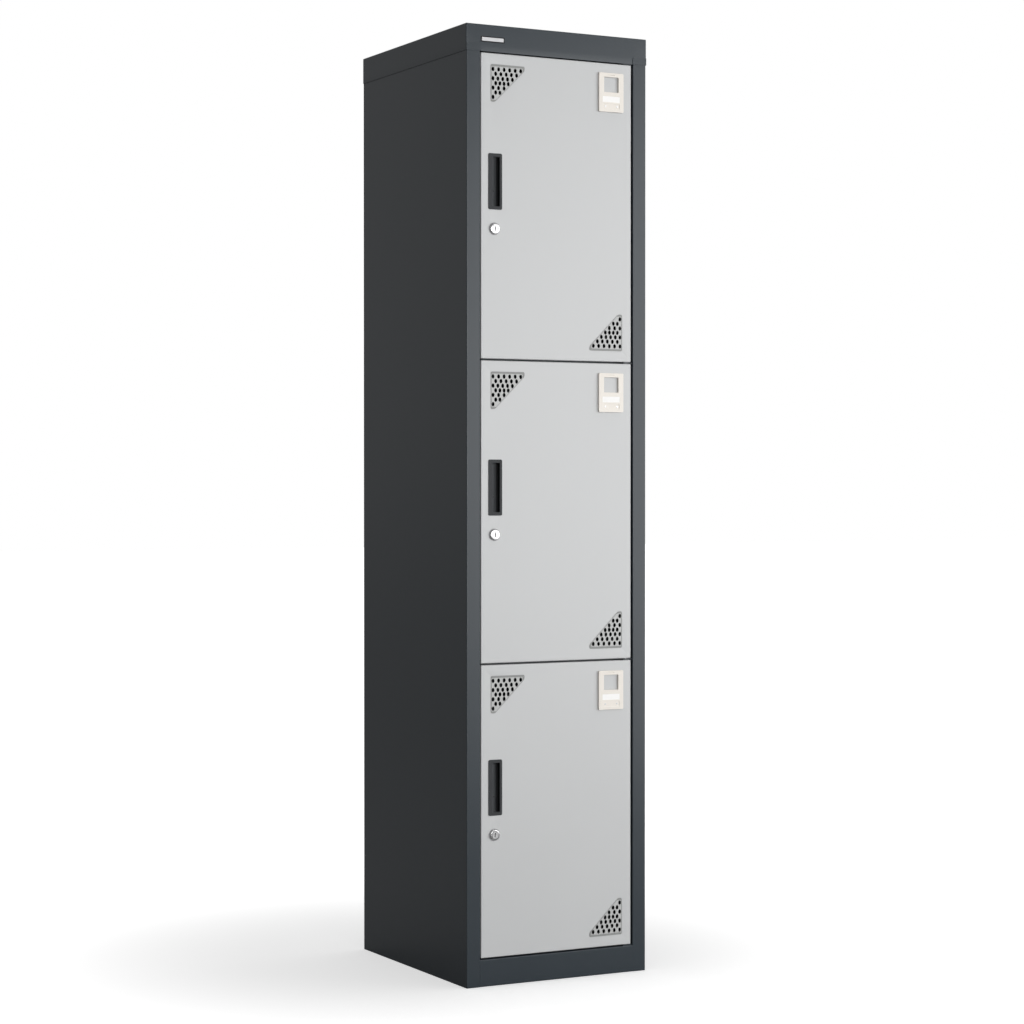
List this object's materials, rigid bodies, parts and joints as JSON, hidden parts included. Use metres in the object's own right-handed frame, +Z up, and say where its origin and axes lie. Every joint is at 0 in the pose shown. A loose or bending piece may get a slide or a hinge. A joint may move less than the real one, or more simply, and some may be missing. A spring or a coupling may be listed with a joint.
{
  "type": "parcel locker",
  "caption": "Tall steel cabinet of stacked compartments, each with a hinged door, a turning cam lock, a recessed pull, corner vents and a card holder.",
  "frame": {"origin": "on the floor, below the middle of the whole outline", "axes": "+Z up, doors face -Y, +X to the right of someone facing the doors"},
  "size_m": [0.39, 0.464, 1.8],
  "materials": {
    "graphite_paint": "fine-textured satin powder coat",
    "grey_paint": "fine-textured satin powder coat",
    "vent_plastic": "satin moulded",
    "black_plastic": "fine-grained moulded",
    "black_screw": "blackened",
    "cream_plastic": "satin moulded",
    "white_card": "plain",
    "bright_chrome": "polished",
    "plug_steel": "satin",
    "zinc_steel": "zinc plated",
    "nylon": "natural",
    "buffer_rubber": "matt",
    "badge_metal": "satin"
  },
  "bodies": {
    "cabinet": {"left_side_panel": "graphite_paint", "right_side_panel": "graphite_paint", "back_panel": "graphite_paint", "top_cap": "graphite_paint", "header_rail": "graphite_paint", "upper_shelf": "graphite_paint", "lower_shelf": "graphite_paint", "floor_pan": "graphite_paint", "plinth_rail": "graphite_paint", "hinge_plates": "graphite_paint", "hinge_pins": "zinc_steel", "door_buffers": "buffer_rubber", "blank_badge": "badge_metal"},
    "bottom_door": {"bottom_door_panel": "grey_paint", "bottom_door_stiffener": "grey_paint", "bottom_vent_upper": "vent_plastic", "bottom_vent_lower": "vent_plastic", "bottom_pull_handle": "black_plastic", "bottom_handle_screw": "black_screw", "bottom_hinge_bushes": "nylon", "bottom_card_holder": "cream_plastic", "bottom_name_card": "white_card", "bottom_card_holder_rivets": "zinc_steel", "bottom_lock_housing": "bright_chrome", "bottom_lock_nut": "zinc_steel"},
    "bottom_lock": {"bottom_lock_plug": "plug_steel", "bottom_lock_cam": "zinc_steel", "bottom_cam_screw": "zinc_steel"},
    "middle_door": {"middle_door_panel": "grey_paint", "middle_door_stiffener": "grey_paint", "middle_vent_upper": "vent_plastic", "middle_vent_lower": "vent_plastic", "middle_pull_handle": "black_plastic", "middle_handle_screw": "black_screw", "middle_hinge_bushes": "nylon", "middle_card_holder": "cream_plastic", "middle_name_card": "white_card", "middle_card_holder_rivets": "zinc_steel", "middle_lock_housing": "bright_chrome", "middle_lock_nut": "zinc_steel"},
    "middle_lock": {"middle_lock_plug": "plug_steel", "middle_lock_cam": "zinc_steel", "middle_cam_screw": "zinc_steel"},
    "top_door": {"top_door_panel": "grey_paint", "top_door_stiffener": "grey_paint", "top_vent_upper": "vent_plastic", "top_vent_lower": "vent_plastic", "top_pull_handle": "black_plastic", "top_handle_screw": "black_screw", "top_hinge_bushes": "nylon", "top_card_holder": "cream_plastic", "top_name_card": "white_card", "top_card_holder_rivets": "zinc_steel", "top_lock_housing": "bright_chrome", "top_lock_nut": "zinc_steel"},
    "top_lock": {"top_lock_plug": "plug_steel", "top_lock_cam": "zinc_steel", "top_cam_screw": "zinc_steel"}
  },
  "joints": [
    {"name": "bottom_door_hinge", "type": "hinge", "parent": "cabinet", "child": "bottom_door", "pos_m": [0.1538, -0.219, 0.3283], "axis": [0, 0, 1], "range_deg": [0, 100]},
    {"name": "bottom_lock_turn", "type": "hinge", "parent": "bottom_door", "child": "bottom_lock", "pos_m": [-0.1356, -0.21, 0.28411], "axis": [0, 1, 0], "range_deg": [0, 90]},
    {"name": "middle_door_hinge", "type": "hinge", "parent": "cabinet", "child": "middle_door", "pos_m": [0.1538, -0.219, 0.8898], "axis": [0, 0, 1], "range_deg": [0, 100]},
    {"name": "middle_lock_turn", "type": "hinge", "parent": "middle_door", "child": "middle_lock", "pos_m": [-0.1356, -0.21, 0.84706], "axis": [0, 1, 0], "range_deg": [0, 90]},
    {"name": "top_door_hinge", "type": "hinge", "parent": "cabinet", "child": "top_door", "pos_m": [0.1538, -0.219, 1.46225], "axis": [0, 0, 1], "range_deg": [0, 100]},
    {"name": "top_lock_turn", "type": "hinge", "parent": "top_door", "child": "top_lock", "pos_m": [-0.1356, -0.21, 1.41982], "axis": [0, 1, 0], "range_deg": [0, 90]}
  ]
}
